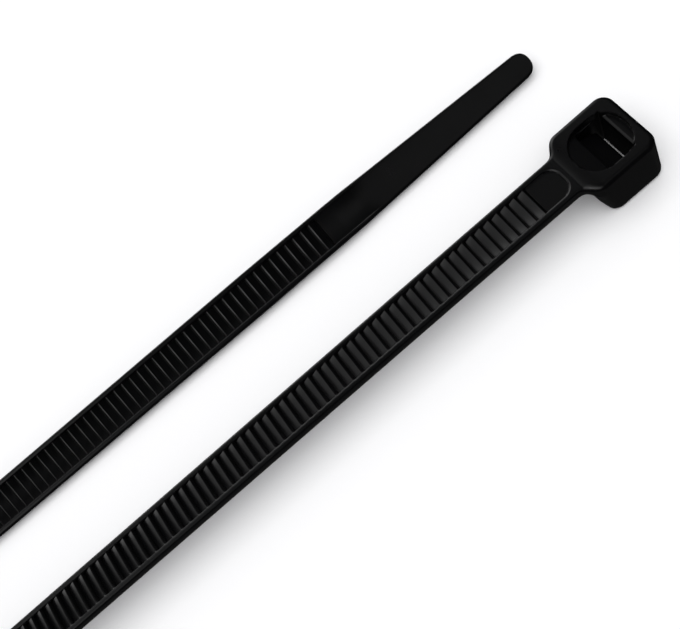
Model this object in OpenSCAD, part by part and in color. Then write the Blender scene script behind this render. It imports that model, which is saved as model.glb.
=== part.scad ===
// Self-locking cable tie, moulded in one piece and bent back on itself.
// The head rests on its flat back with the toothed side of the strap up.
// The strap leaves the head along -X, makes a quarter twist, goes round a
// U-bend standing on its edge, twists back, and its tail lies beside the head.
// The origin is the middle of the strap slot, in the plane of the head's base.

/* [Strap] */
// Width of the strap
strap_w = 4.8; // [4:0.1:5.8]
// Thickness of the strap over its rails
strap_t = 1.3; // [1.1:0.05:1.6]
// Width of the smooth rail on each side of the teeth
rail_w = 0.42; // [0.34:0.02:0.6]
// Bevel along the long edges of the strap
edge_bevel = 0.14; // [0.08:0.02:0.18]

/* [Teeth] */
// Distance from one tooth to the next
tooth_pitch = 1.13; // [0.92:0.01:1.4]
// Height of a tooth from its root to its crest
tooth_h = 0.42; // [0.3:0.02:0.5]
// Depth of the crests below the tops of the rails
crest_drop = 0.1; // [0.06:0.02:0.2]
// Length of the flat crest of a tooth
crest_l = 0.14; // [0.08:0.02:0.2]
// Length that the steep face of a tooth takes up
steep_l = 0.12; // [0.06:0.02:0.2]
// Length of the flat root between two teeth
root_l = 0.1; // [0.06:0.02:0.2]

/* [Run at the head] */
// Number of teeth between the head and the first twist
head_run_teeth = 63; // [45:1:80]
// Length of the smooth pad between the head and the teeth
pad_l = 3.5; // [3:0.1:5]
// Depth of the pad below the tops of the rails
pad_drop = 0.26; // [0.2:0.02:0.34]
// Corner radius of the closed end of the pad
pad_r = 1.3; // [1:0.1:1.5]
// Length of the rim between the pad and the shoulder of the head
rim_l = 0.55; // [0.3:0.05:0.8]

/* [Bend] */
// Distance between the middles of the two runs, at the bend
run_spacing = 17; // [14:0.2:22]
// Angle by which the tail's run comes closer to the head's run
run_lean = 1; // [0:0.1:3]
// Number of teeth along each twist
twist_teeth = 22; // [18:1:28]
// Roll that the tail's run keeps after the twist, towards the other run
tail_roll = 27; // [18:1:34]

/* [Tail] */
// Number of teeth on the straight run of the tail
tail_run_teeth = 47; // [35:1:65]
// Length of the smooth tail beyond the last tooth
tail_l = 29; // [24:0.2:36]
// Flat land after the last tooth
land_l = 2; // [1.5:0.1:3]
// Length of the slope from the land down to the thin tail
dip_l = 2.8; // [2:0.1:3.6]
// Length over which the rails fade out, from the end of the land
rail_fade_l = 4.8; // [4:0.1:6]
// Thickness of the tail where the rails have faded out
tail_t = 0.98; // [0.8:0.02:1.06]
// Thickness of the tail at its tip
tip_t = 0.8; // [0.6:0.02:0.78]
// Width of the tail where its long taper starts
tail_w = 4.56; // [3.8:0.02:4.7]
// Width of the tail at its tip
tip_w = 2.85; // [2.2:0.05:3.4]
// Corner radius of the tip
tip_r = 1.15; // [0.8:0.05:1.3]
// Length of the last teeth over which the strap starts to narrow
narrow_l = 10; // [6:0.5:14]
// Distance of the long taper's start beyond the last tooth
taper_gap = 4.2; // [3:0.1:6]

/* [Head] */
// Height of the head from its back to its front
head_h = 5.7; // [5.2:0.1:6.8]
// How far the front of the head stands above the strap
head_proud = 0.35; // [0.25:0.05:0.6]
// Length of the slope from the strap up to the front of the head
shoulder_l = 1; // [0.7:0.05:1.4]
// Part of that slope that lies before the head's near wall
shoulder_lead = 0.4; // [0.2:0.05:0.6]
// Wall on each side of the slot
side_wall = 1.85; // [1.5:0.05:2]
// Slant of the head's side walls, from its back to its front
side_draft = 0.45; // [0:0.05:0.55]
// Wall beyond the slot, at the free end of the head
end_wall = 1.9; // [1.6:0.05:2.3]
// Wall between the pawl's space and the strap
near_wall = 1.75; // [1.5:0.05:2]
// Radius of the head's upright corners
head_r = 1.4; // [1:0.05:1.5]
// Rounding of the front edges of the head
front_r = 0.55; // [0.3:0.05:0.65]
// Rounding of the back edges of the head
back_r = 0.4; // [0.3:0.05:0.5]
// Slant of the head's wall under the strap, at its base
near_slant = 1; // [0.6:0.05:1.2]
// Radius of the fillets between strap and head
neck_r = 1.3; // [0.9:0.05:1.4]

/* [Lock] */
// Clearance between the strap and each side of the slot
slot_side_gap = 0.28; // [0.2:0.02:0.4]
// Clearance between the strap's thickness and the slot
slot_gap = 0.4; // [0.3:0.05:0.55]
// Length of the space that the pawl hangs in
pawl_space = 2.6; // [2.4:0.1:3]
// Depth of the lead-in beside the pawl, below the front of the head
funnel_h = 0.95; // [0.85:0.05:1.1]
// Depth of the lead-in at the slot's far wall
far_depth = 0.5; // [0.4:0.05:0.6]
// Depth of the lead-in at its rim
rim_depth = 0.15; // [0.1:0.05:0.25]
// Width by which the lead-in is wider than the slot, on each side
funnel_flare = 0.17; // [0.1:0.01:0.3]
// Straight part of the lead-in's rounded ends
funnel_flat = 0.5; // [0.4:0.1:1]
// Flat of the head's front between its near edge and the lead-in
near_rim = 0.2; // [0.15:0.05:0.4]
// Wall between the lead-in and the free end of the head
end_rim = 0.8; // [0.7:0.05:1]
// Length of the opening that the lead-in leaves beside the pawl
mouth_l = 1.5; // [1.2:0.05:1.6]
// Number of teeth on the pawl
pawl_teeth = 3; // [2:1:3]
// Share of a pawl tooth that its ramp takes up
pawl_ramp = 0.72; // [0.6:0.02:0.8]
// Thickness of the pawl's hinge
hinge_t = 0.75; // [0.6:0.05:0.85]
// Clearance between the pawl and each side of the slot
pawl_side_gap = 0.32; // [0.2:0.02:0.45]
// How far the pawl's teeth reach into the strap's way
pawl_bite = 0.6; // [0.4:0.05:0.75]

/* [Hidden] */
$fn = 64;

tie_colour = "#1a1a1b";

// Depth that one solid runs into its neighbour, so that they are one piece
bury = 0.2;
// The twisted stretches are this much slimmer than the straight ones
slim = 0.01;
// Distance by which a cut or an outline runs out beyond the solid
cut = 1;

// Levels in the strap, measured from its smooth back
crest_n = strap_t - crest_drop;
root_n = crest_n - tooth_h;
channel_w = strap_w - 2 * rail_w;

// Head, along X from the slot's middle
slot_t = strap_t + slot_gap;
slot_w = strap_w + 2 * slot_side_gap;
head_w = slot_w + 2 * side_wall;
slot_far_x = slot_t / 2;
slot_near_x = -slot_t / 2;
cavity_x = slot_near_x - pawl_space;
mouth_x = slot_near_x - mouth_l;
mouth_z = head_h - funnel_h;
roof_z = mouth_z - hinge_t;
head_end_x = slot_far_x + end_wall;
head_start_x = cavity_x - near_wall;
strap_z = head_h - head_proud - strap_t;
rail_z = head_h - head_proud;

// Stations along the strap
shoulder_x = head_start_x - shoulder_lead;
front_x = shoulder_x + shoulder_l;
pad_end_x = shoulder_x - rim_l;
pad_start_x = pad_end_x - pad_l;
twist_x = pad_start_x - head_run_teeth * tooth_pitch;
twist_l = twist_teeth * tooth_pitch;
bend_x = twist_x - twist_l;
bend_r = run_spacing / 2;
bend_angle = 180 + run_lean;
bend_teeth = round(PI * bend_r * bend_angle / 180 / tooth_pitch);
last_tooth_x = twist_x + tail_run_teeth * tooth_pitch;
tip_x = last_tooth_x + tail_l;

// Points of an arc about [x, y], from angle a to angle b
function arc(x, y, r, a, b, steps = 8) =
    [for (k = [0 : steps]) let (t = a + (b - a) * k / steps) [x + r * cos(t), y + r * sin(t)]];

// Smooth step from 0 to 1
function ease(t) = t * t * (3 - 2 * t);

// Cross-section of the strap: across in x, up from the back in y, with a
// channel between the rails whose floor is at floor_n
function strap_section(floor_n, inset = 0) =
    let (
        half = strap_w / 2 - inset,
        inner = channel_w / 2 + inset,
        back = inset,
        top = strap_t - inset,
        b = edge_bevel
    ) [
        [-half + b, back], [half - b, back], [half, back + b],
        [half, top - b], [half - b, top], [inner, top],
        [inner, floor_n], [-inner, floor_n], [-inner, top],
        [-half + b, top], [-half, top - b], [-half, back + b]
    ];

// One tooth as places along the strap, away from the head, and heights.
// Its steep face looks at the head and its ramp falls towards the tail.
tooth_marks = [
    [0, root_n],
    [steep_l, crest_n],
    [steep_l + crest_l, crest_n],
    [tooth_pitch - root_l, root_n]
];

// Saw-tooth line of count teeth, closed below inside the strap
function tooth_bar(count) = concat(
    [for (k = [0 : count - 1], m = tooth_marks) [k * tooth_pitch + m[0], m[1]]],
    [[count * tooth_pitch, root_n], [count * tooth_pitch, root_n / 2], [0, root_n / 2]]
);

// Straight toothed stretch along +X, on its back. Its bar runs on into its
// neighbours at both ends.
module toothed_run(count) {
    translate([-bury, 0, 0])
        rotate([90, 0, 90])
            linear_extrude(count * tooth_pitch + 2 * bury)
                polygon(strap_section(root_n - crest_drop));
    rotate([90, 0, 0])
        linear_extrude(channel_w + rail_w, center = true)
            polygon(tooth_bar(count));
}

// Rounded rectangle with its corner radius r, centred
module rounded_rect(length, width, r) {
    square([length - 2 * r, width], center = true);
    square([length, width - 2 * r], center = true);
    for (x = [-1, 1], y = [-1, 1])
        translate([x * (length / 2 - r), y * (width / 2 - r)])
            circle(r);
}

// Outline of the head and neck seen from the front. The neck's fillets start
// where the bevels of the strap end, so that they grow out of its sides.
module head_plan() {
    translate([(head_start_x + head_end_x) / 2, 0])
        rounded_rect(head_end_x - head_start_x, head_w, head_r);
    neck_x = head_start_x - neck_r;
    neck_y = strap_w / 2 - edge_bevel + neck_r;
    polygon(concat(
        [[pad_end_x, neck_y - neck_r], [pad_end_x, neck_r - neck_y]],
        arc(neck_x, -neck_y, neck_r, 90, 0),
        [[head_start_x + head_r, -neck_y], [head_start_x + head_r, neck_y]],
        arc(neck_x, neck_y, neck_r, 0, -90)
    ));
}

// Outline of the head and neck seen from the side
module head_side() {
    slant_x = head_start_x + near_slant;
    under_r = neck_r / 2;
    polygon(concat(
        arc(slant_x + back_r, back_r, back_r, 190, 270),
        arc(head_end_x - back_r, back_r, back_r, 270, 360),
        arc(head_end_x - front_r, head_h - front_r, front_r, 0, 90),
        [[front_x, head_h], [shoulder_x, rail_z]],
        [[pad_end_x, rail_z], [pad_end_x, strap_z]],
        arc(head_start_x - under_r, strap_z - under_r, under_r, 90, 0, 5)
    ));
}

// Outline of the head seen along the strap
module head_end() {
    half = head_w / 2;
    front_half = half - side_draft;
    polygon(concat(
        arc(-half + back_r, back_r, back_r, 180, 270),
        arc(half - back_r, back_r, back_r, 270, 360),
        arc(front_half - front_r, head_h - front_r, front_r, 0, 90),
        arc(-front_half + front_r, head_h - front_r, front_r, 90, 180)
    ));
}

// Solid form of the head and neck, where the three outlines meet
module head_block() {
    intersection() {
        linear_extrude(head_h)
            head_plan();
        rotate([90, 0, 0])
            linear_extrude(head_w + 2 * cut, center = true)
                head_side();
        translate([pad_end_x - cut, 0, 0])
            rotate([90, 0, 90])
                linear_extrude(head_end_x - pad_end_x + 2 * cut)
                    head_end();
    }
}

// Lead-in at the front: a rounded recess that falls to the mouth beside the
// pawl, and on its other side to the slot's far wall
module funnel() {
    near_x = front_x + near_rim;
    far_x = head_end_x - end_rim;
    length = far_x - near_x;
    width = slot_w + 2 * funnel_flare;
    intersection() {
        translate([(near_x + far_x) / 2, 0, mouth_z])
            linear_extrude(funnel_h + cut)
                rounded_rect(length, width, (min(length, width) - funnel_flat) / 2);
        rotate([90, 0, 0])
            linear_extrude(head_w, center = true)
                polygon([
                    [near_x, head_h - rim_depth],
                    [mouth_x, mouth_z],
                    [slot_far_x, mouth_z],
                    [slot_far_x, head_h - far_depth],
                    [far_x, head_h - rim_depth],
                    [far_x, head_h + cut],
                    [near_x, head_h + cut]
                ]);
    }
}

// Space inside the head: the strap's slot and the room that the pawl hangs in
module lock_space() {
    rotate([90, 0, 0])
        linear_extrude(slot_w, center = true)
            polygon([
                [cavity_x, -cut],
                [slot_far_x, -cut],
                [slot_far_x, mouth_z + bury],
                [mouth_x, mouth_z + bury],
                [mouth_x, roof_z],
                [cavity_x + hinge_t / 2, roof_z],
                [cavity_x, roof_z - hinge_t]
            ]);
}

// Springy tongue, hinged beside the mouth, with its teeth towards the strap
module pawl() {
    root_z = (mouth_z + roof_z) / 2;
    face_x = slot_near_x + pawl_bite - tooth_h;
    first_z = roof_z - hinge_t / 4;
    step = min(tooth_pitch, (first_z - back_r) / pawl_teeth);
    foot_z = first_z - pawl_teeth * step;
    rotate([90, 0, 0])
        linear_extrude(slot_w - 2 * pawl_side_gap, center = true)
            polygon(concat(
                [[mouth_x - hinge_t, root_z], [mouth_x, root_z], [face_x, first_z]],
                [for (k = [0 : pawl_teeth - 1], m = [pawl_ramp, 1])
                    [face_x + (m == 1 ? 0 : tooth_h), first_z - (k + m) * step]],
                [[face_x - hinge_t, foot_z], [mouth_x - hinge_t, roof_z - hinge_t]]
            ));
}

// Smooth recess between the last tooth and the head, closed by a rounded end
module pad_recess() {
    floor_z = rail_z - pad_drop;
    length = pad_l + bury;
    translate([pad_start_x - bury, 0, floor_z])
        linear_extrude(pad_drop + cut)
            intersection() {
                translate([length / 2 - pad_r, 0])
                    rounded_rect(length + 2 * pad_r, channel_w, pad_r);
                translate([length / 2, 0])
                    square([length, strap_w], center = true);
            }
}

// Solid stretch of the strap between the teeth and the head
module pad_bar() {
    translate([pad_start_x, 0, strap_z])
        rotate([90, 0, 90])
            linear_extrude(head_start_x + bury - pad_start_x)
                polygon(strap_section(strap_t));
}

module head() {
    difference() {
        union() {
            head_block();
            pad_bar();
        }
        funnel();
        lock_space();
        pad_recess();
    }
    pawl();
}

module head_run() {
    translate([pad_start_x, 0, strap_z])
        rotate([0, 0, 180])
            toothed_run(head_run_teeth);
}

// Height of the strap's middle over the surface when it lies rolled by angle
function rest_height(angle) =
    -min([for (p = strap_section(root_n)) p[0] * sin(angle) + (p[1] - strap_t / 2) * cos(angle)]);

// A ring of the strap at x, rolled by angle about its middle at y and z.
// A positive angle turns the toothed side towards -Y.
function ring(x, y, z, angle, floor_n) = [
    for (p = strap_section(floor_n, slim))
        let (a = p[0], n = p[1] - strap_t / 2)
            [x, y + a * cos(angle) - n * sin(angle), z + a * sin(angle) + n * cos(angle)]
];

// Places along a twist, from its start, with the channel's floor at each
function twist_marks() = concat(
    [[-bury, root_n]],
    [for (k = [0 : twist_teeth - 1], m = tooth_marks) [k * tooth_pitch + m[0], m[1]]],
    [[twist_l, root_n], [twist_l + bury, root_n]]
);

// Quarter twist from the head's run down onto the strap's edge
function head_twist_rings() = [
    for (m = twist_marks())
        let (e = ease(max(0, min(1, m[0] / twist_l))))
            ring(twist_x - m[0], 0, rest_height(90 * e) + strap_z * (1 - e), -90 * e, m[1] - slim)
];

// Twist from the strap's edge to the roll that the tail keeps
function tail_twist_rings() = [
    for (m = twist_marks())
        let (
            e = ease(max(0, min(1, 1 - m[0] / twist_l))),
            angle = tail_roll + (90 - tail_roll) * e
        )
            ring(bend_x + m[0], run_spacing, rest_height(angle), angle, m[1] - slim)
];

// The strap's section as three convex faces: one rail, the web, the other rail
section_faces = [[2, 3, 4, 5, 6], [0, 1, 2, 6, 7, 11], [7, 8, 9, 10, 11]];

// The same face, seen from its other side
function turned(f) = [for (j = [len(f) - 1 : -1 : 0]) f[j]];

// Solid through a list of rings, closed by its first and last ring
module ring_solid(rings, flip) {
    count = len(rings);
    sides = len(rings[0]);
    points = [for (r = rings, p = r) p];
    function at(k, j) = k * sides + (j % sides);
    walls = [
        for (k = [0 : count - 2], j = [0 : sides - 1], h = [0 : 1])
            h == 0
                ? [at(k, j), at(k, j + 1), at(k + 1, j + 1)]
                : [at(k, j), at(k + 1, j + 1), at(k + 1, j)]
    ];
    first = [for (f = section_faces) turned(f)];
    last = [for (f = section_faces) [for (j = f) at(count - 1, j)]];
    faces = concat(first, walls, last);
    polyhedron(points, flip ? [for (f = faces) turned(f)] : faces);
}

// U-bend of the strap on its edge, teeth on the inside
module bend() {
    turn = bend_angle / bend_teeth;
    function bend_point(k, m) =
        let (r = bend_r + strap_t / 2 - m[1], a = 270 - turn * (k + m[0] / tooth_pitch))
            [r * cos(a), r * sin(a)];
    saw = [for (k = [0 : bend_teeth - 1], m = tooth_marks) bend_point(k, m)];
    base_r = bend_r + strap_t / 2 - root_n / 2;
    translate([bend_x, bend_r, 0]) {
        rotate([0, 0, 270 - bend_angle])
            rotate_extrude(angle = bend_angle, $fn = 128)
                polygon([
                    for (p = strap_section(root_n - crest_drop))
                        [bend_r + strap_t / 2 - p[1], strap_w / 2 + p[0]]
                ]);
        translate([0, 0, (rail_w + edge_bevel) / 2])
            linear_extrude(strap_w - rail_w - edge_bevel)
                polygon(concat(
                    saw,
                    [bend_point(bend_teeth, tooth_marks[0])],
                    arc(0, 0, base_r, 270 - bend_angle, 270, bend_teeth)
                ));
    }
}

// Outline of the tail's run seen from above, narrowing to the rounded tip
module tail_plan() {
    wide = strap_w / 2 + cut;
    narrow_x = last_tooth_x - narrow_l;
    taper_x = last_tooth_x + taper_gap;
    lean = atan((tail_w - tip_w) / 2 / (tip_x - taper_x));
    tip_y = tip_w / 2 - tip_r;
    side_line = [
        [twist_x - cut, wide],
        [narrow_x, wide],
        [narrow_x, strap_w / 2],
        [taper_x, tail_w / 2]
    ];
    upper = concat(side_line, arc(tip_x - tip_r, tip_y, tip_r, 90 - lean, 0));
    polygon(concat(upper, [for (k = [len(upper) - 1 : -1 : 0]) [upper[k][0], -upper[k][1]]]));
}

// Smooth end of the strap on its back: land, dip, fading rails, thin tail
module tail_end() {
    land_x = last_tooth_x + land_l;
    dip_x = land_x + dip_l;
    fade_x = land_x + rail_fade_l;
    difference() {
        intersection() {
            translate([last_tooth_x, 0, 0])
                rotate([90, 0, 90])
                    linear_extrude(tail_l)
                        polygon(strap_section(strap_t));
            rotate([90, 0, 0])
                linear_extrude(strap_w + cut, center = true)
                    polygon([
                        [last_tooth_x, 0],
                        [tip_x, 0],
                        [tip_x, tip_t],
                        [fade_x, tail_t],
                        [land_x, strap_t],
                        [last_tooth_x, strap_t]
                    ]);
        }
        rotate([90, 0, 0])
            linear_extrude(channel_w, center = true)
                polygon([
                    [last_tooth_x - bury, crest_n],
                    [land_x, crest_n],
                    [dip_x, tail_t],
                    [fade_x, tail_t],
                    [fade_x, strap_t + cut],
                    [last_tooth_x - bury, strap_t + cut]
                ]);
    }
}

module tail_run() {
    translate([0, run_spacing, rest_height(tail_roll)])
        rotate([tail_roll, 0, 0])
            translate([0, 0, -strap_t / 2])
                intersection() {
                    union() {
                        translate([twist_x, 0, 0])
                            toothed_run(tail_run_teeth);
                        tail_end();
                    }
                    linear_extrude(2 * strap_t)
                        tail_plan();
                }
}

// Second twist and tail, leaning towards the head's run about the bend's middle
module tail_side() {
    translate([bend_x, bend_r, 0])
        rotate([0, 0, -run_lean])
            translate([-bend_x, -bend_r, 0]) {
                ring_solid(tail_twist_rings(), true);
                tail_run();
            }
}

module cable_tie() {
    color(tie_colour) {
        head();
        head_run();
        ring_solid(head_twist_rings(), false);
        bend();
        tail_side();
    }
}

cable_tie();
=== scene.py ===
# %% [markdown]
# # A black nylon cable tie on a white table
# The object is one self-locking cable tie: a toothed strap, a head with a slot
# and a pawl in it, and a smooth tail that is pushed through the head. It is
# moulded in one shot from black nylon, so it is one piece here too. The CAD
# model gives its place and its size, and this script gives it its looks.

# %% The fixed frame from the CAD model
import bmesh
import bpy
import math
import numpy as np
from mathutils import Matrix, Vector


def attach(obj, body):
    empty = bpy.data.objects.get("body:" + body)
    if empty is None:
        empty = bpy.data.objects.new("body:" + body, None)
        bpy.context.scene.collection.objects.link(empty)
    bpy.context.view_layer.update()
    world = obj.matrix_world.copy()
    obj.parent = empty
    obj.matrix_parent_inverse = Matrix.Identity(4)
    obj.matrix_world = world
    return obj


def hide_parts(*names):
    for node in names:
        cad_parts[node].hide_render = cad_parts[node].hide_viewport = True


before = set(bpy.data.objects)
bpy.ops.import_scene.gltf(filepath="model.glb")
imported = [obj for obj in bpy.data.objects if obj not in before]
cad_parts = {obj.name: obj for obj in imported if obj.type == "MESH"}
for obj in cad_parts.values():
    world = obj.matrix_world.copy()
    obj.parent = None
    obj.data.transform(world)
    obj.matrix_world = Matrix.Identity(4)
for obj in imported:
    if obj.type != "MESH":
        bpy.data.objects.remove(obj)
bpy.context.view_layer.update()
MM = 0.001

# %% [markdown]
# ## The camera
# The photograph is a close view from above, at about 63 degrees. Place, turn
# and focal length were found by matching the edges and the teeth of both runs
# with the photograph. The small lens shift belongs to the photo's crop.

# %% Camera
camera_data = bpy.data.cameras.new("photo_camera")
camera = bpy.data.objects.new("photo_camera", camera_data)
bpy.context.scene.collection.objects.link(camera)
bpy.context.scene.camera = camera
camera_data.sensor_width = 36
camera_data.lens = 50.269
camera_data.shift_x = -0.0705
camera_data.shift_y = -0.0181
camera_data.clip_start = 0.002
camera_data.clip_end = 20


def camera_pose(turn, shift, origin):
    """Camera matrix from a turn vector and a shift in mm, both with y down and z ahead."""
    turned = Vector(turn)
    axes = Matrix.Rotation(turned.length, 3, turned.normalized())
    where = Vector(origin) - axes.transposed() @ Vector(shift)
    blender_axes = Matrix(((1, 0, 0), (0, -1, 0), (0, 0, -1)))
    pose = (blender_axes @ axes).transposed().to_4x4()
    pose.translation = where * MM
    return pose


camera_turn = (2.5309, -0.9359, -0.2680)
camera_shift = (-29.2794, 28.0272, 94.984)
middle_of_run = (-67.65, 0, 5.35)
camera.matrix_world = camera_pose(camera_turn, camera_shift, middle_of_run)
print("camera at", [round(v / MM, 1) for v in camera.matrix_world.translation], "mm")

# %% [markdown]
# ## Sizes
# The sizes are those of the part's source, in millimetres. The tie is a
# 4.8 mm one: the strap is 1.3 mm thick, with a tooth each 1.13 mm between two
# smooth rails. Three sizes were corrected here by the photograph: the rails are
# 0.65 mm wide, the pawl reaches 0.8 mm into the slot, and the fillets of the
# neck have a radius of 1.2 mm. Names end in _w, _t, _h, _l and _r for width,
# thickness, height, length and radius, and in _x, _z and _n for a place along
# the head's run, a height above the table and one above the strap's back.

# %% Sizes of strap and tail
strap_w, strap_t, rail_w, strap_edge = 4.8, 1.3, 0.65, 0.24
tooth_pitch, tooth_h, crest_drop = 1.13, 0.42, 0.1
crest_n = strap_t - crest_drop
root_n = crest_n - tooth_h
channel = strap_w / 2 - rail_w

# Teeth on the head's run, on each twist and on the tail's run
head_run_teeth, twist_teeth, tail_run_teeth = 63, 22, 47
# Space between the runs, and how the tail's run leans and rolls, in degrees
run_spacing, run_lean, tail_roll = 17.0, 1.0, 27.0
pad_l, pad_drop, pad_r, rim_l = 3.5, 0.26, 1.3, 0.55

# Land after the last tooth, dip after it, and the tail to its rounded tip
tail_l, land_l, dip_l, rail_fade_l = 29.0, 2.0, 2.8, 4.8
tail_t, tip_t, tail_w, tip_w, tip_r = 0.98, 0.8, 4.56, 2.85, 1.15
narrow_l, taper_gap = 10.0, 4.2
print("channel:", 2 * channel, "mm wide, teeth", tooth_h, "mm high")

# %% Sizes of the head
head_h, head_proud, shoulder_l, shoulder_lead = 5.7, 0.35, 1.0, 0.4
side_wall, side_draft, end_wall, near_wall = 1.85, 0.45, 1.9, 1.75
head_r, front_r, back_r, near_slant, neck_r = 1.4, 0.55, 0.4, 1.0, 1.2
slot_t, slot_w = 1.7, 5.36
pawl_space, hinge_t, pawl_bite, pawl_side_gap = 2.6, 0.75, 0.8, 0.32
funnel_h, far_depth, rim_depth, funnel_flare = 0.95, 0.5, 0.15, 0.17
near_rim, end_rim, mouth_l = 0.2, 0.8, 1.5

# Places that follow from the sizes: x = 0 is the slot's middle
head_w = slot_w + 2 * side_wall
head_end_x = slot_t / 2 + end_wall
head_start_x = -slot_t / 2 - pawl_space - near_wall
strap_z = head_h - head_proud - strap_t
rail_z = strap_z + strap_t
shoulder_x = head_start_x - shoulder_lead
front_x = shoulder_x + shoulder_l
pad_end_x = shoulder_x - rim_l
pad_start_x = pad_end_x - pad_l
print("head from x =", round(head_start_x, 2), "to", round(head_end_x, 2), "mm")

# %% Stations along the strap
twist_l = twist_teeth * tooth_pitch
twist_x = pad_start_x - head_run_teeth * tooth_pitch
bend_x = twist_x - twist_l
bend_r = run_spacing / 2
bend_angle = 180 + run_lean
bend_teeth = round(math.radians(bend_angle) * bend_r / tooth_pitch)
last_tooth_x = twist_x + tail_run_teeth * tooth_pitch
tip_x = last_tooth_x + tail_l
toothed_l = (head_run_teeth + 2 * twist_teeth + bend_teeth + tail_run_teeth) * tooth_pitch
print("toothed length", round(toothed_l, 1), "mm, tip at x =", round(tip_x, 2))


# %% [markdown]
# ## The strap's cross-section
# A moulded strap has no sharp edges: the steel mould is milled and polished,
# so its long edges are rounded. Between the two rails lies the channel that
# holds the teeth. The rails' inner edges are broken by a small bevel, which
# shows as a thin bright line. The section is a closed loop of 28 points from a
# few numbers, so that one function serves the teeth and the tail.

# %% One cross-section
rail_bevel, rail_foot = 0.12, 0.05


def arc(a, n, r, start, end, count):
    """Points of an arc about (a, n), angles in degrees."""
    angles = np.radians(np.linspace(start, end, count))
    return [(a + r * math.cos(t), n + r * math.sin(t)) for t in angles]


def section(floor, top=strap_t, half=strap_w / 2, edge=strap_edge):
    """Loop of points: across in a, up from the strap's back in n."""
    step = top - floor
    lip, low = min(rail_bevel, 0.6 * step), min(rail_foot, 0.2 * step)
    brow = 0.25 * lip
    inner = min(channel, half - edge - 0.2)
    right = arc(half - edge, edge, edge, -90, 0, 4)
    right += arc(half - edge, top - edge, edge, 0, 90, 4)
    right += [
        (inner + 0.18, top), (inner + 0.13, top - brow),
        (inner + 0.11, top - brow - 0.16 * lip), (inner + 0.13 - lip, top - brow - lip),
        (inner, floor + low), (inner - rail_foot, floor),
    ]
    return np.array(right + [(-a, n) for a, n in reversed(right)])


print("points in the section:", len(section(root_n)))

# %% [markdown]
# ## One tooth
# Each tooth has a steep face towards the head and a long ramp away from it,
# so that the pawl slides over the ramps and catches on the steep faces. Crest
# and root are a little rounded. A tooth is a short table of heights, and each
# next tooth is the same table one pitch further.

# %% Heights along one tooth
TOOTH = [
    # Steep face, with its foot and the bevel at its top
    (0.000, root_n), (0.020, root_n + 0.05), (0.050, crest_n - 0.165), (0.065, crest_n - 0.145),
    # Rounded crest
    (0.200, crest_n - 0.030), (0.250, crest_n - 0.006), (0.330, crest_n - 0.045),
    # End of the ramp and the root before the next tooth
    (0.960, root_n + 0.035), (1.040, root_n + 0.004),
]
tooth_count = round(toothed_l / tooth_pitch)
stations = [(k * tooth_pitch + d, n) for k in range(tooth_count) for d, n in TOOTH]
print("stations along the teeth:", len(stations))


# %% [markdown]
# ## The way the strap lies
# The strap leaves the head flat, turns onto its edge along 25 mm, goes round
# a U-bend on its edge, and turns back until its tail rests on its lower edge.
# At each place along it the strap has a middle, a direction across and a
# direction up. One function gives all three, and all of the strap follows it.

# %% Middle and directions of the strap at each place
def ease(t):
    """Smooth step from 0 to 1."""
    t = min(1, max(0, t))
    return t * t * (3 - 2 * t)


def rest_height(angle):
    """Height of the strap's middle when it lies rolled by angle degrees."""
    a = math.radians(angle)
    b = 0.14  # the rounded long edge, taken as a chamfer
    corners = [(-strap_w / 2 + b, 0), (-strap_w / 2, b), (-strap_w / 2, strap_t - b)]
    return -min(x * math.sin(a) + (n - strap_t / 2) * math.cos(a) for x, n in corners)


bend_inset = 0.015  # keeps the finely divided bend inside the CAD model's box


def place(s):
    """Middle, across and up at distance s from the end of the pad."""
    run, bend_l = head_run_teeth * tooth_pitch, bend_teeth * tooth_pitch
    if s < run + twist_l:
        e = ease((s - run) / twist_l)
        a = math.radians(-90 * e)
        middle = (pad_start_x - s, 0, rest_height(90 * e) + strap_z * (1 - e))
        return middle, (0, math.cos(a), math.sin(a)), (0, -math.sin(a), math.cos(a))
    if s < run + twist_l + bend_l:
        part = (s - run - twist_l) / bend_l
        t = math.radians(270 - bend_angle * part)
        c, d = math.cos(t), math.sin(t)
        r = bend_r - bend_inset * math.sin(math.pi * part)
        return (bend_x + r * c, bend_r + r * d, strap_w / 2), (0, 0, -1), (-c, -d, 0)
    along = s - run - twist_l - bend_l
    roll = tail_roll + (90 - tail_roll) * ease(1 - along / twist_l)
    a, b = math.radians(roll), math.radians(-run_lean)
    middle = (bend_x + along * math.cos(b) - bend_r * math.sin(b),
              bend_r + along * math.sin(b) + bend_r * math.cos(b), rest_height(roll))
    side = (math.cos(a) * math.sin(b), -math.cos(a) * math.cos(b), -math.sin(a))
    return middle, side, (math.sin(a) * math.sin(b), -math.sin(a) * math.cos(b), math.cos(a))


print("strap's middle at the U-bend's far end:", [round(v, 2) for v in place(toothed_l / 2)[0]])


# %% [markdown]
# ## The smooth tail
# After the last tooth comes a short land, then a dip in which the rails fade
# out, then the thin tail, which narrows to a rounded tip so that it finds the
# slot easily. Each size fades into the next along a few straight stretches, so
# np.interp gives it from a short list of places and values.

# %% Sections of the tail
def tail_half(x):
    """Half of the tail's width at x."""
    taper_x = last_tooth_x + taper_gap
    if x < taper_x:
        return np.interp(x, [last_tooth_x - narrow_l, taper_x], [strap_w / 2, tail_w / 2])
    half = np.interp(x, [taper_x, tip_x], [tail_w / 2, tip_w / 2])
    back = x - (tip_x - tip_r)
    if back <= 0:
        return half
    corner = math.sqrt(max(0, tip_r ** 2 - back ** 2))
    return min(half, tip_w / 2 - tip_r + corner)


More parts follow.
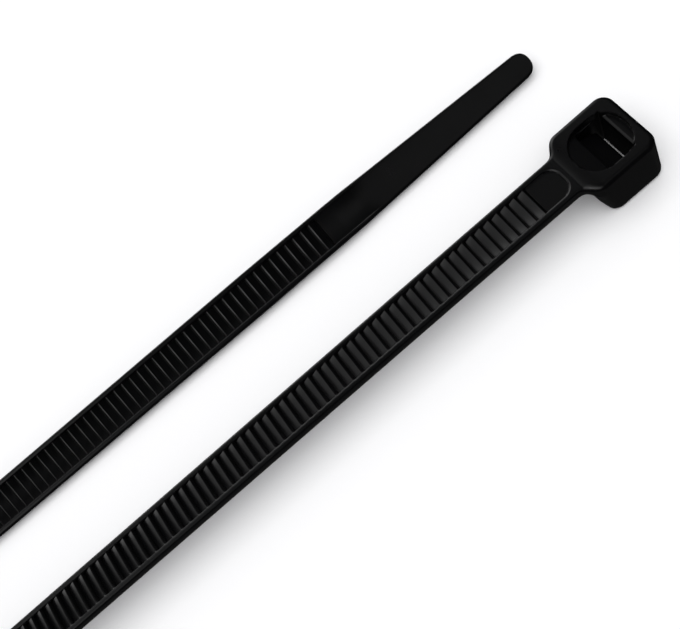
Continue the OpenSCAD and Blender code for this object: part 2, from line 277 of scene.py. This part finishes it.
def tail_section(x):
    """Section of the strap at x on the tail."""
    d = x - last_tooth_x
    floors = [crest_n, crest_n, tail_t - 0.02, tip_t]
    floor = np.interp(d, [0, land_l, land_l + dip_l, tail_l], floors)
    tops = [strap_t, strap_t, tail_t, tip_t]
    top = np.interp(d, [0, land_l, land_l + rail_fade_l, tail_l], tops)
    half = tail_half(x)
    return section(min(floor, top), top, half, min(strap_edge, 0.45 * half))


print("tail is", round(2 * tail_half(tip_x - tip_r), 2), "mm wide where its tip starts to round")


# %% [markdown]
# ## The strap as a sweep
# All the sections are joined into one tube, ring by ring. A mesh made from
# numbers keeps each tooth exactly where the CAD model has it. A curve with a
# bevel object couldn't change its section at each tooth.

# %% Sweep
def rings_to_mesh(rings):
    """Closed mesh through rings of equal count, as points and faces."""
    count, sides = len(rings), len(rings[0])
    points = np.concatenate(rings)
    faces = [tuple(reversed(range(sides)))]
    for k in range(count - 1):
        for j in range(sides):
            i = (j + 1) % sides
            faces.append((k * sides + j, k * sides + i, (k + 1) * sides + i, (k + 1) * sides + j))
    faces.append(tuple(range((count - 1) * sides, count * sides)))
    return points, faces


def ring_at(s, loop):
    """Points of a section's loop, put in its place along the strap."""
    middle, across, up = (np.array(v, dtype=float) for v in place(s))
    return middle + loop[:, :1] * across + (loop[:, 1:] - strap_t / 2) * up


# %% Rings along the teeth and the tail
rings = []
run_start = toothed_l - tail_run_teeth * tooth_pitch
inside_head = [(-0.3, root_n), (-0.02, root_n)]
for s, n in inside_head + stations:
    x = twist_x + s - run_start
    half = tail_half(x) if s > run_start else strap_w / 2
    # The end inside the head is a hair slimmer, so that no two faces coincide
    slim = 0.004 if s < -0.1 else 0
    rings.append(ring_at(s, section(n, strap_t - slim, half - slim)))
# Distances from the last tooth, closer where the section changes fast
land_marks = [0, 0.03, 0.1, 0.6, 1.3, 1.9, 2.0, 2.15]
dip_marks = [2.6, 3.2, 3.8, 4.4, 4.7, 4.85, 5.2, 5.9, 6.6, 6.9]
thin_marks = [8, 11, 15, 19, 23, 27]
tip_angles = np.radians(np.linspace(-10, 88, 14))
tip_marks = list(tail_l - tip_r + tip_r * np.sin(tip_angles)) + [tail_l]
for d in land_marks + dip_marks + thin_marks + tip_marks:
    rings.append(ring_at(toothed_l + d, tail_section(last_tooth_x + d)))
strap_points, strap_faces = rings_to_mesh(rings)
print("strap:", len(strap_points), "points,", len(strap_faces), "faces")


# %% [markdown]
# ## The head as a distance field
# The head is a rounded block with soft blends everywhere: into the strap, down
# into the funnel, round the slot. Such a form is hard to bevel edge by edge.
# A distance field makes it simple: each form is a function that is negative
# inside, and rounding is part of the way in which two forms are joined.

# %% Joining distance fields with a rounding
def join(a, b, r):
    """Union of two fields with a fillet of radius r."""
    u, v = np.maximum(r - a, 0), np.maximum(r - b, 0)
    return np.maximum(r, np.minimum(a, b)) - np.hypot(u, v)


def meet(a, b, r):
    """Overlap of two fields with its edge rounded by r."""
    u, v = np.maximum(r + a, 0), np.maximum(r + b, 0)
    return np.minimum(-r, np.maximum(a, b)) + np.hypot(u, v)


def block(x, y, half_x, half_y, r=0):
    """Rectangle with rounded corners in a plane."""
    u, v = np.abs(x) - half_x + r, np.abs(y) - half_y + r
    return np.hypot(np.maximum(u, 0), np.maximum(v, 0)) + np.minimum(np.maximum(u, v), 0) - r


def slope(u, v, u0, v0, u1, v1):
    """Distance from the line through two points, negative on its right."""
    length = math.hypot(u1 - u0, v1 - v0)
    return ((v - v0) * (u1 - u0) - (u - u0) * (v1 - v0)) / length


print("a rounded corner of 0.3 mm takes off", round(float(meet(0.0, 0.0, 0.3)), 3), "mm")

# %% [markdown]
# ## The head's outer form
# From above, the head is a rounded rectangle with two hollow curves into the
# strap. Its sides slant inwards towards the top, as moulded walls do so that
# they leave the mould. Seen from the side, a slanted shoulder rises from the
# strap to the flat front, and the near wall slants back to the foot.

# %% The head's outer form
head_x = (head_start_x + head_end_x) / 2


def outer_form(x, y, z):
    """Head and neck: plan, top and underside, with rounded edges."""
    draft = side_draft * np.clip((z - back_r) / (head_h - front_r - back_r), 0, 1)
    start = head_start_x + near_slant * np.clip(1 - z / strap_z, 0, 1)
    middle, half_l = (start + head_end_x) / 2, (head_end_x - start) / 2
    plan = block(x - middle, y, half_l, head_w / 2 - draft, head_r)
    bar = np.maximum(np.abs(y) - strap_w / 2, np.maximum(pad_start_x - x, x - head_x))
    plan = join(plan, bar, neck_r)
    rise = slope(x, z, shoulder_x, rail_z, front_x, head_h)
    top = np.minimum(z - rail_z, meet(z - head_h, rise, 0.3))
    wall = slope(x, z, head_start_x, strap_z, head_start_x + near_slant, 0)
    foot = meet(-z, -wall, back_r)
    under = join(foot, strap_z - z, neck_r / 2)
    grow = np.clip((x - pad_end_x) / (head_start_x - pad_end_x), 0, 1)
    edge = strap_edge + (front_r - strap_edge) * grow
    return meet(plan, meet(top, under, 0.02), edge)


front_w = round(head_w - 2 * side_draft, 2)
print("head:", round(head_w, 2), "mm wide at its foot,", front_w, "at its front")

# %% [markdown]
# ## The lead-in and the slot
# The tail finds the slot through an oval recess. Its near floor falls from the
# shoulder towards the pawl. On the far side a short bevel rises from the slot
# to a rib, the brightest line on the head. Below lies the slot with the room
# for the pawl. All this is cut away, so a form here is the hollow itself.

# %% Recess and slot
slot_far, slot_near = slot_t / 2, -slot_t / 2
near_x, far_x = front_x + near_rim, head_end_x - end_rim
mouth_x, mouth_z = slot_near - mouth_l, head_h - funnel_h
roof_z, room_x = mouth_z - hinge_t, slot_near - pawl_space
recess_r, mouth_lift = 2.6, 0.2
rib_l, rib_rise, pocket_drop = 0.3, 0.25, 0.12


def recess_form(x, y, z):
    """Lead-in: an oval recess whose floor falls from both ends."""
    middle, half_l = (near_x + far_x) / 2, (far_x - near_x) / 2
    plan = block(x - middle, y, half_l, slot_w / 2 + funnel_flare, recess_r)
    near_floor = slope(x, z, near_x, head_h - rim_depth, mouth_x, mouth_z + mouth_lift)
    rib_x, rib_z = slot_far + rib_l, head_h - far_depth
    bevel = slope(x, z, slot_far, rib_z - rib_rise, rib_x, rib_z)
    far_floor = slope(x, z, rib_x, rib_z, far_x, rib_z - pocket_drop)
    near_part = np.maximum(np.maximum(-near_floor, mouth_z - z), x - slot_far)
    far_part = np.maximum(-np.maximum(bevel, far_floor), slot_far - 0.2 - x)
    return np.maximum(plan, np.minimum(near_part, far_part))


def hollow_form(x, y, z):
    """Slot for the strap and the space that the pawl hangs in."""
    side = np.maximum(np.abs(y) - slot_w / 2, x - slot_far)
    low = np.maximum(np.maximum(room_x - x, z - roof_z), side)
    mouth = np.maximum(np.maximum(mouth_x - x, z - head_h), side)
    return np.minimum(low, mouth)


print("slot", slot_t, "by", slot_w, "mm, recess from x =", round(near_x, 2), "to", round(far_x, 2))

# %% [markdown]
# ## The pawl
# The pawl is a springy tongue in the slot. It hangs from the head by a thin
# hinge of the same plastic, and its teeth catch the strap's. Its lid falls
# steeply into the slot, so it mirrors no lamp and looks black. It is one more
# form, joined to the head's, because the real one is moulded with it.

# %% Pawl
pawl_foot_z, lid_fall, ramp_share = 0.42, 0.35, 0.72


def pawl_form(x, y, z):
    """Springy tongue with its teeth towards the slot's far wall."""
    face_x = slot_near + pawl_bite - tooth_h
    root_z, first_z = roof_z + 0.1, roof_z - hinge_t / 2
    lid = slope(x, z, mouth_x, root_z, face_x, first_z - lid_fall)
    back = slope(x, z, face_x - hinge_t, pawl_foot_z, mouth_x - hinge_t, roof_z - hinge_t)
    tooth = ((first_z - z) / tooth_pitch) % 1
    rise = np.where(tooth < ramp_share, tooth / ramp_share, (1 - tooth) / (1 - ramp_share))
    face = x - face_x - tooth_h * rise
    body = np.maximum(np.maximum(lid, z - root_z), np.maximum(face, pawl_foot_z - z))
    body = np.maximum(body, back)
    return np.maximum(body, np.abs(y) - slot_w / 2 + pawl_side_gap)


print("pawl from z =", pawl_foot_z, "to its hinge at", round(roof_z, 2), "mm")

# %% [markdown]
# ## The smooth pad
# Between the last tooth and the head lies a smooth pad, a little below the
# rails and round at the head's end. Its edge is bevelled, which gives the thin
# bright line round it. The pad is cut from the head's form, because the neck's
# curves begin beside it.

# %% Pad
bevel_tilt, bevel_w = 41, 0.16


def pad_plan(x, y):
    """Outline of the smooth pad, round at its end near the head."""
    length = pad_l + 1
    middle = pad_end_x - length / 2 - pad_r / 2
    return block(x - middle, y, length / 2 + pad_r / 2, channel, pad_r)


def pad_form(x, y, z):
    """Space above the pad."""
    return meet(pad_plan(x, y), rail_z - pad_drop - z, 0.05)


def bevel_form(x, y, z):
    """What stays below the bevel round the pad."""
    tilt = math.radians(bevel_tilt)
    out = np.maximum(pad_plan(x, y), 0) - bevel_w
    bevel = math.cos(tilt) * (z - rail_z) - math.sin(tilt) * out
    return np.where(x < pad_end_x + 0.3, bevel, -1)


def head_form(x, y, z):
    """Whole head: outer form, less its hollows and the pad's space, and the pawl."""
    solid = outer_form(x, y, z)
    hollow = join(recess_form(x, y, z), hollow_form(x, y, z), 0.1)
    solid = meet(solid, -hollow, 0.05)
    solid = meet(solid, -pad_form(x, y, z), 0.03)
    solid = np.maximum(solid, bevel_form(x, y, z))
    return np.minimum(solid, pawl_form(x, y, z))


print("pad", pad_l, "mm long,", 2 * channel, "mm wide")


# %% [markdown]
# ## From the field to a mesh
# The field is sampled on a fine grid. Each cell that the surface passes gets
# one point, and four neighbouring cells make a face. Then each point is moved
# onto the surface itself, along the field's slope, so the mesh is smooth. It
# could also be a remesh modifier over joined blocks, but that blurs the edges.

# %% Net of faces round a field
def net(field, low, high, step):
    """Points and faces of the surface where field is zero."""
    axes = [np.arange(a - 2.5 * step, b + 3 * step, step) for a, b in zip(low, high)]
    grid = np.meshgrid(*axes, indexing="ij")
    value = field(*grid)
    shape = np.array(value.shape) - 1
    total, hits = np.zeros((*shape, 3)), np.zeros(shape)
    crossings = []
    for axis in range(3):
        a = np.take(value, range(value.shape[axis] - 1), axis)
        b = np.take(value, range(1, value.shape[axis]), axis)
        cut = (a < 0) != (b < 0)
        t = np.where(cut, a / np.where(cut, a - b, 1), 0)
        crossings.append((cut, a < 0))
        others = [k for k in range(3) if k != axis]
        for i in (0, 1):
            for j in (0, 1):
                pick = [slice(None)] * 3
                pick[others[0]] = slice(i, i + shape[others[0]])
                pick[others[1]] = slice(j, j + shape[others[1]])
                c, tt = cut[tuple(pick)], t[tuple(pick)]
                hits += c
                total[..., axis] += np.where(c, tt, 0)
                total[..., others[0]] += i * c
                total[..., others[1]] += j * c
    used = hits > 0
    index = np.full(shape, -1)
    index[used] = np.arange(used.sum())
    cells = np.argwhere(used)
    points = (cells + total[used] / hits[used][:, None]) * step + [ax[0] for ax in axes]
    faces = []
    for axis, (cut, first_inside) in enumerate(crossings):
        spots = np.argwhere(cut)
        u, v = [k for k in range(3) if k != axis]
        du, dv = np.eye(3, dtype=int)[u], np.eye(3, dtype=int)[v]
        corners = ((1, 1), (0, 1), (0, 0), (1, 0))
        quad = np.stack([index[tuple((spots - i * du - j * dv).T)] for i, j in corners], 1)
        flip = first_inside[cut] == (axis == 1)
        quad[flip] = quad[flip][:, ::-1]
        faces.append(quad)
    return points, np.concatenate(faces)


# %% Points onto the surface, and the head's mesh
def settle(field, points, rounds=3, h=0.004):
    """Move points onto the surface of the field."""
    for _ in range(rounds):
        x, y, z = points.T
        f = field(x, y, z)
        g = np.stack([
            field(x + h, y, z) - field(x - h, y, z),
            field(x, y + h, z) - field(x, y - h, z),
            field(x, y, z + h) - field(x, y, z - h),
        ], 1) / (2 * h)
        # At a crease the slope is weak, so the step is kept short
        size = np.maximum((g ** 2).sum(1), 0.3)
        move = -(f / size)[:, None] * g
        points = points + np.clip(move, -0.06, 0.06)
    return points


head_low = (pad_start_x, -head_w / 2, 0)
head_high = (head_end_x, head_w / 2, head_h)
cell = 0.1
head_points, head_faces = net(head_form, head_low, head_high, cell)
head_points = settle(head_form, head_points)
print("head:", len(head_points), "points,", len(head_faces), "faces")


# %% [markdown]
# ## One piece of plastic
# Strap and head are two closed meshes that run into each other by 0.3 mm. A
# Boolean union makes them one skin, as the moulded part is. Edges sharper than
# 40 degrees stay sharp, and all others are shaded smooth.

# %% Union of strap and head
def new_object(name, points, faces):
    """Object from points in millimetres and faces."""
    mesh = bpy.data.meshes.new(name)
    corners = [tuple(float(v) * MM for v in p) for p in points]
    mesh.from_pydata(corners, [], [tuple(int(i) for i in f) for f in faces])
    mesh.validate()
    obj = bpy.data.objects.new(name, mesh)
    bpy.context.scene.collection.objects.link(obj)
    return obj


tie = new_object("tie_moulding", strap_points, strap_faces)
head = new_object("head_tool", head_points, head_faces)
merge = tie.modifiers.new("one piece", "BOOLEAN")
merge.operation = "UNION"
merge.object = head
merge.solver = "EXACT"
graph = bpy.context.evaluated_depsgraph_get()
joined = bpy.data.meshes.new_from_object(tie.evaluated_get(graph))
tie.modifiers.clear()
tie.data = joined
bpy.data.objects.remove(head)
joined.shade_smooth()
joined.set_sharp_from_angle(angle=math.radians(40))
joined.calc_loop_triangles()
print("tie:", len(joined.vertices), "points,", len(joined.loop_triangles), "triangles")

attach(tie, "root")
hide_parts("cable_tie")


# %% [markdown]
# ## Black moulded nylon
# Cable ties are moulded from polyamide 6.6, coloured with carbon black. The
# black takes nearly all light, so the eye sees the shape by its gloss alone. It
# has a satin surface: the mould is lightly textured, and the plastic shrinks a
# little as it cools. Nylon's refractive index is 1.53. Roughness changes
# faintly over about 3 mm. The mould's grain is some hundredths of a millimetre,
# too fine to show, so it is drawn 0.17 mm wide and very low.

# %% Helpers for materials
def linear(code):
    """Linear colour from an sRGB hex value."""
    parts = [int(code[i:i + 2], 16) / 255 for i in (1, 3, 5)]
    return [v / 12.92 if v <= 0.04045 else ((v + 0.055) / 1.055) ** 2.4 for v in parts] + [1.0]


def add(tree, kind, links=None, **settings):
    """Add a node, set its sockets and properties, and link its inputs."""
    node = tree.nodes.new(kind)
    for name, value in settings.items():
        if hasattr(node, name):
            setattr(node, name, value)
        else:
            node.inputs[name].default_value = value
    for name, source in (links or {}).items():
        tree.links.new(source, node.inputs[name])
    return node


def new_material(name):
    """Empty material and its node tree."""
    material = bpy.data.materials.new(name)
    material.use_nodes = True
    material.node_tree.nodes.clear()
    return material, material.node_tree


print("linear value of #808080:", round(linear("#808080")[0], 3))

# %% Nylon
patch_size, grain_size, grain_depth = 2.857 * MM, 0.1667 * MM, 0.01 * MM
nylon, tree = new_material("black_moulded_nylon")
where = add(tree, "ShaderNodeTexCoord").outputs["Object"]
cloud = add(tree, "ShaderNodeTexNoise", {"Vector": where}, Scale=1 / patch_size, Detail=3)
rough = add(tree, "ShaderNodeMapRange", {"Value": cloud.outputs["Fac"]})
rough.inputs["To Min"].default_value = 0.25
rough.inputs["To Max"].default_value = 0.33
grain = add(tree, "ShaderNodeTexNoise", {"Vector": where}, Scale=1 / grain_size, Detail=2)
height = {"Height": grain.outputs["Fac"]}
bump = add(tree, "ShaderNodeBump", height, Strength=0.12, Distance=grain_depth)
surface = {"Roughness": rough.outputs["Result"], "Normal": bump.outputs["Normal"]}
skin = add(tree, "ShaderNodeBsdfPrincipled", surface, IOR=1.53)
skin.inputs["Base Color"].default_value = linear("#050506")
add(tree, "ShaderNodeOutputMaterial", {"Surface": skin.outputs["BSDF"]})
tie.data.materials.clear()
tie.data.materials.append(nylon)
print("material:", nylon.name)

# %% [markdown]
# ## The white table
# The photograph has a pure white ground. Here it is a large round table top
# with a white surface, lit so that it renders white. It keeps the tie's soft
# shadow. It isn't seen in gloss, so that it doesn't fill the lower faces of
# the black plastic with light.

# %% Table
tie_middle = (-0.045, 0.01)
table_r = 1.5


def object_from(name, bm):
    """Object in the scene from a bmesh."""
    mesh = bpy.data.meshes.new(name)
    bm.to_mesh(mesh)
    bm.free()
    obj = bpy.data.objects.new(name, mesh)
    bpy.context.scene.collection.objects.link(obj)
    return obj


bm = bmesh.new()
centre = Matrix.Translation((*tie_middle, 0))
bmesh.ops.create_circle(bm, cap_ends=True, radius=table_r, segments=96, matrix=centre)
table = object_from("table_top", bm)
white, tree = new_material("white_table_paint")
paint = add(tree, "ShaderNodeBsdfDiffuse", Color=linear("#ffffff"))
add(tree, "ShaderNodeOutputMaterial", {"Surface": paint.outputs["BSDF"]})
table.data.materials.append(white)
table.visible_glossy = False
print("table top:", 2 * table_r, "m across")

# %% [markdown]
# ## The light tent
# Small glossy things are photographed in a tent of white cloth. Lamps outside
# it make patches of the cloth glow, and black plastic shows its shape by what
# it mirrors of them: the softbox on the ramps of the teeth, the lamp behind the
# table as the thin lines along rails and pad, the faint glow overhead on the
# flats. The cloth is a sphere that only gloss sees, so each patch can be set by
# itself and puts no light on the table. A patch is a direction, and it fades
# with the angle from it. The dot product of two directions is the cosine of
# the angle between them.

# %% Tent that the gloss mirrors
def ramp(tree, source, start, end, low, high):
    """Smooth change from low to high while the source goes from start to end."""
    node = add(tree, "ShaderNodeMapRange", {"Value": source}, interpolation_type="SMOOTHSTEP")
    limits = {"From Min": start, "From Max": end, "To Min": low, "To Max": high}
    for name, value in limits.items():
        node.inputs[name].default_value = value
    return node.outputs["Result"]


bm = bmesh.new()
bmesh.ops.create_icosphere(bm, subdivisions=4, radius=1.0)
tent = object_from("light_tent", bm)
tent.data.shade_smooth()
cloth, tree = new_material("white_tent_cloth")
spot = add(tree, "ShaderNodeTexCoord").outputs["Object"]

# %% Patches of light on the tent
# Each patch: its direction from the tie, the cosines at which it starts and is
# full, and its strength
PATCHES = [
    ("softbox on the left", (-0.85, 0.30, 0.43), 0.66, 0.90, 0.38),
    ("strip lamp at the far left", (-0.97, -0.10, 0.22), 0.95, 0.99, 1.6),
    ("lamp on the near left", (-0.68, -0.36, 0.64), 0.90, 0.99, 0.8),
    ("lamp behind the table", (-0.10, 0.93, 0.34), 0.86, 0.97, 1.5),
    ("glow overhead", (0.15, -0.33, 0.93), 0.95, 0.995, 0.2),
    ("glow behind the head", (0.35, 0.45, 0.82), 0.90, 0.99, 0.1),
    ("light from the table", (0.0, -0.45, -0.89), 0.60, 0.90, 0.035),
]
cloth_glow = 0.001
glow = None
for label, towards, start, full, strength in PATCHES:
    node = add(tree, "ShaderNodeVectorMath", {0: spot}, operation="DOT_PRODUCT", label=label)
    node.inputs[1].default_value = Vector(towards).normalized()
    patch = ramp(tree, node.outputs["Value"], start, full, cloth_glow, strength)
    if glow is None:
        glow = patch
    else:
        glow = add(tree, "ShaderNodeMath", {0: glow, 1: patch}, operation="ADD").outputs[0]
light = add(tree, "ShaderNodeEmission", {"Strength": glow}, Color=linear("#ffffff"))
add(tree, "ShaderNodeOutputMaterial", {"Surface": light.outputs["Emission"]})
tent.data.materials.append(cloth)
tent.visible_camera = False
tent.visible_diffuse = False
tent.visible_shadow = False
tent.visible_transmission = False
print("light tent:", len(PATCHES), "patches")

# %% [markdown]
# ## Light
# A large panel overhead lights the table evenly. The world fills the shadows
# with a light grey. Light Path tells which ray asks: the camera, gloss and
# glass see the world white, so that the ground has no horizon. The tie gets no
# more light by that, because its own gloss meets the tent first.

# %% Lamp and world
panel = bpy.data.lights.new("overhead_panel", "AREA")
panel.shape = "RECTANGLE"
panel.size = panel.size_y = 1.2
panel.energy = 6
lamp = bpy.data.objects.new("overhead_panel", panel)
bpy.context.scene.collection.objects.link(lamp)
lamp.location = (*tie_middle, 0.9)
lamp.visible_glossy = False
print("panel:", panel.energy, "W,", round(lamp.location.z, 2), "m above the table")

world = bpy.data.worlds.new("studio")
bpy.context.scene.world = world
world.use_nodes = True
tree = world.node_tree
tree.nodes.clear()
fill = add(tree, "ShaderNodeBackground", Color=linear("#c8c8ca"), Strength=1.0)
seen = add(tree, "ShaderNodeBackground", Color=linear("#ffffff"), Strength=1.0)
path = add(tree, "ShaderNodeLightPath").outputs
sees_white = path["Is Camera Ray"]
for ray in ("Is Glossy Ray", "Is Transmission Ray"):
    either = add(tree, "ShaderNodeMath", {0: sees_white, 1: path[ray]}, operation="MAXIMUM")
    sees_white = either.outputs[0]
both = add(tree, "ShaderNodeMixShader", {"Fac": sees_white})
tree.links.new(fill.outputs["Background"], both.inputs[1])
tree.links.new(seen.outputs["Background"], both.inputs[2])
add(tree, "ShaderNodeOutputWorld", {"Surface": both.outputs["Shader"]})
bpy.context.scene.view_settings.view_transform = "Standard"
